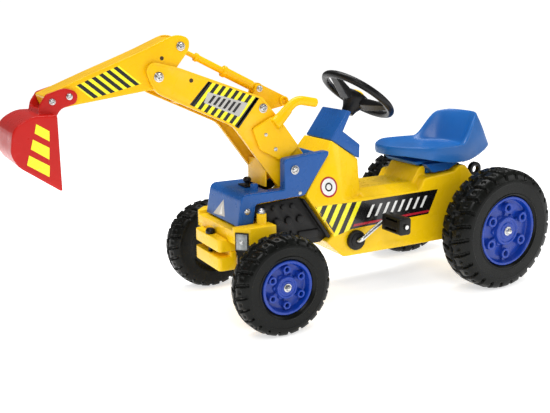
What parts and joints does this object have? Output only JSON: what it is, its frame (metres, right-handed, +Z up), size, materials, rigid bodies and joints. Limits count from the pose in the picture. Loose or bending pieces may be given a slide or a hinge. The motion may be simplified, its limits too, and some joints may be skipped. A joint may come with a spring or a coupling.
{
  "type": "ride on digger",
  "caption": "Pedal-driven child's ride-on digger with a lifting boom, swinging dipper with bucket, linked steering, chain-driven rear axle, saddle seat and towing pin.",
  "frame": {"origin": "bottom centre of the whole object's bounding box, on the floor", "axes": "-X is the front with the bucket, +X the rear, -Y the rider's left, +Z up"},
  "size_m": [1.2698, 0.458, 0.6234],
  "materials": {
    "yellow_plastic": "moulded warm yellow, satin gloss",
    "blue_plastic": "moulded royal blue, satin gloss",
    "seat_plastic": "moulded mid blue, gloss",
    "rim_plastic": "moulded deep blue, gloss",
    "red_plastic": "moulded red, gloss",
    "tyre_plastic": "hard blow-moulded black plastic, satin gloss",
    "black_plastic": "moulded black, satin",
    "steel": "bright zinc-plated steel"
  },
  "bodies": {
    "chassis": {"body_shell": "yellow_plastic", "under_tray": "black_plastic", "hood": "blue_plastic", "engine_panel_left": "black_plastic", "engine_panel_right": "black_plastic", "dashboard": "blue_plastic", "front_axle_housing": "yellow_plastic", "corner_plate_left": "steel", "corner_plate_right": "steel", "bumper_upper": "yellow_plastic", "bumper_lower": "yellow_plastic", "seat": "seat_plastic", "seat_base": "seat_plastic", "lock_knob": "black_plastic", "tow_ring": "black_plastic", "chain": "steel", "crank_bush_left": "black_plastic", "crank_bush_right": "black_plastic", "axle_bush_left": "black_plastic", "axle_bush_right": "black_plastic", "boom_pivot_bolt": "steel"},
    "boom": {"boom": "yellow_plastic", "boom_handle": "yellow_plastic", "dipper_pivot_bolt": "steel", "lever_pivot_bolt": "steel"},
    "dipper": {"dipper": "yellow_plastic", "link_pin_front": "steel", "bucket": "red_plastic", "bucket_bolt_1": "steel", "bucket_bolt_2": "steel"},
    "lever": {"dipper_lever": "yellow_plastic", "link_pin_rear": "steel"},
    "link": {"link_rod": "yellow_plastic"},
    "steering": {"steering_column": "steel", "steering_wheel": "black_plastic"},
    "horn": {"horn_button": "yellow_plastic"},
    "towing_pin": {"hitch_pin": "black_plastic"},
    "track_rod": {"tie_rod": "steel"},
    "knuckle_left": {"knuckle_left": "steel", "kingpin_nut_left": "steel", "hub_nut_front_left": "steel"},
    "knuckle_right": {"knuckle_right": "steel", "kingpin_nut_right": "steel", "hub_nut_front_right": "steel"},
    "wheel_front_left": {"tyre_front_left": "tyre_plastic", "rim_front_left": "rim_plastic"},
    "wheel_front_right": {"tyre_front_right": "tyre_plastic", "rim_front_right": "rim_plastic"},
    "rear_wheels": {"rear_axle": "steel", "tyre_rear_left": "tyre_plastic", "tyre_rear_right": "tyre_plastic", "rim_rear_left": "rim_plastic", "rim_rear_right": "rim_plastic", "hub_nut_rear_left": "steel", "hub_nut_rear_right": "steel", "rear_sprocket": "steel"},
    "cranks": {"crank": "steel", "crank_sprocket": "steel"},
    "pedal_left": {"pedal_left": "black_plastic"},
    "pedal_right": {"pedal_right": "black_plastic"}
  },
  "joints": [
    {"name": "boom_lift", "type": "hinge", "parent": "chassis", "child": "boom", "pos_m": [-0.0376, 0, 0.33], "axis": [0, 1, 0], "range_deg": [-40, 20]},
    {"name": "dipper_swing", "type": "hinge", "parent": "boom", "child": "dipper", "pos_m": [-0.3336, 0, 0.5415], "axis": [0, 1, 0], "range_deg": [-12, 12]},
    {"name": "lever_swing", "type": "hinge", "parent": "boom", "child": "lever", "pos_m": [-0.0966, 0, 0.466], "axis": [0, 1, 0], "range_deg": [-26, 26]},
    {"name": "link_swing", "type": "hinge", "parent": "dipper", "child": "link", "pos_m": [-0.2816, 0, 0.601], "axis": [0, 1, 0], "range_deg": [-17, 17]},
    {"name": "steer_left", "type": "hinge", "parent": "chassis", "child": "knuckle_left", "pos_m": [-0.1306, -0.098, 0.11], "axis": [0, 0, 1], "range_deg": [-16, 16]},
    {"name": "steer_right", "type": "hinge", "parent": "chassis", "child": "knuckle_right", "pos_m": [-0.1306, 0.098, 0.11], "axis": [0, 0, 1], "range_deg": [-16.5, 16.5]},
    {"name": "track_rod_slide", "type": "slide", "parent": "chassis", "child": "track_rod", "axis": [0, 1, 0], "range_m": [-0.018, 0.018]},
    {"name": "steering_turn", "type": "hinge", "parent": "chassis", "child": "steering", "pos_m": [0.1864, 0, 0.479], "axis": [0.5793, 0, 0.8151], "range_deg": [-30, 30]},
    {"name": "horn_press", "type": "slide", "parent": "steering", "child": "horn", "axis": [-0.5793, 0, -0.8151], "range_m": [0, 0.004], "stiffness_N_per_m": 400, "springref_m": -0.002},
    {"name": "towing_pin_lift", "type": "slide", "parent": "chassis", "child": "towing_pin", "axis": [0, 0, 1], "range_m": [0, 0.07]},
    {"name": "front_left_spin", "type": "hinge", "parent": "knuckle_left", "child": "wheel_front_left", "pos_m": [-0.1306, -0.1836, 0.11], "axis": [0, 1, 0], "continuous": true},
    {"name": "front_right_spin", "type": "hinge", "parent": "knuckle_right", "child": "wheel_front_right", "pos_m": [-0.1306, 0.1836, 0.11], "axis": [0, 1, 0], "continuous": true},
    {"name": "rear_axle_spin", "type": "hinge", "parent": "chassis", "child": "rear_wheels", "pos_m": [0.4864, 0, 0.15], "axis": [0, 1, 0], "continuous": true},
    {"name": "crank_spin", "type": "hinge", "parent": "chassis", "child": "cranks", "pos_m": [0.1244, 0, 0.148], "axis": [0, 1, 0], "continuous": true},
    {"name": "pedal_left_spin", "type": "hinge", "parent": "cranks", "child": "pedal_left", "pos_m": [0.1944, -0.153, 0.192], "axis": [0, 1, 0], "continuous": true},
    {"name": "pedal_right_spin", "type": "hinge", "parent": "cranks", "child": "pedal_right", "pos_m": [0.0544, 0.153, 0.104], "axis": [0, 1, 0], "continuous": true}
  ],
  "couplings": [
    {"joint": "lever_swing", "follows": "dipper_swing", "ratio": 1.96},
    {"joint": "link_swing", "follows": "dipper_swing", "ratio": -1.2},
    {"joint": "steer_right", "follows": "steer_left", "ratio": 1},
    {"joint": "track_rod_slide", "follows": "steer_left", "m_per_rad": 0.062},
    {"joint": "steering_turn", "follows": "steer_left", "ratio": -1.85},
    {"joint": "crank_spin", "follows": "rear_axle_spin", "ratio": 0.66667}
  ]
}
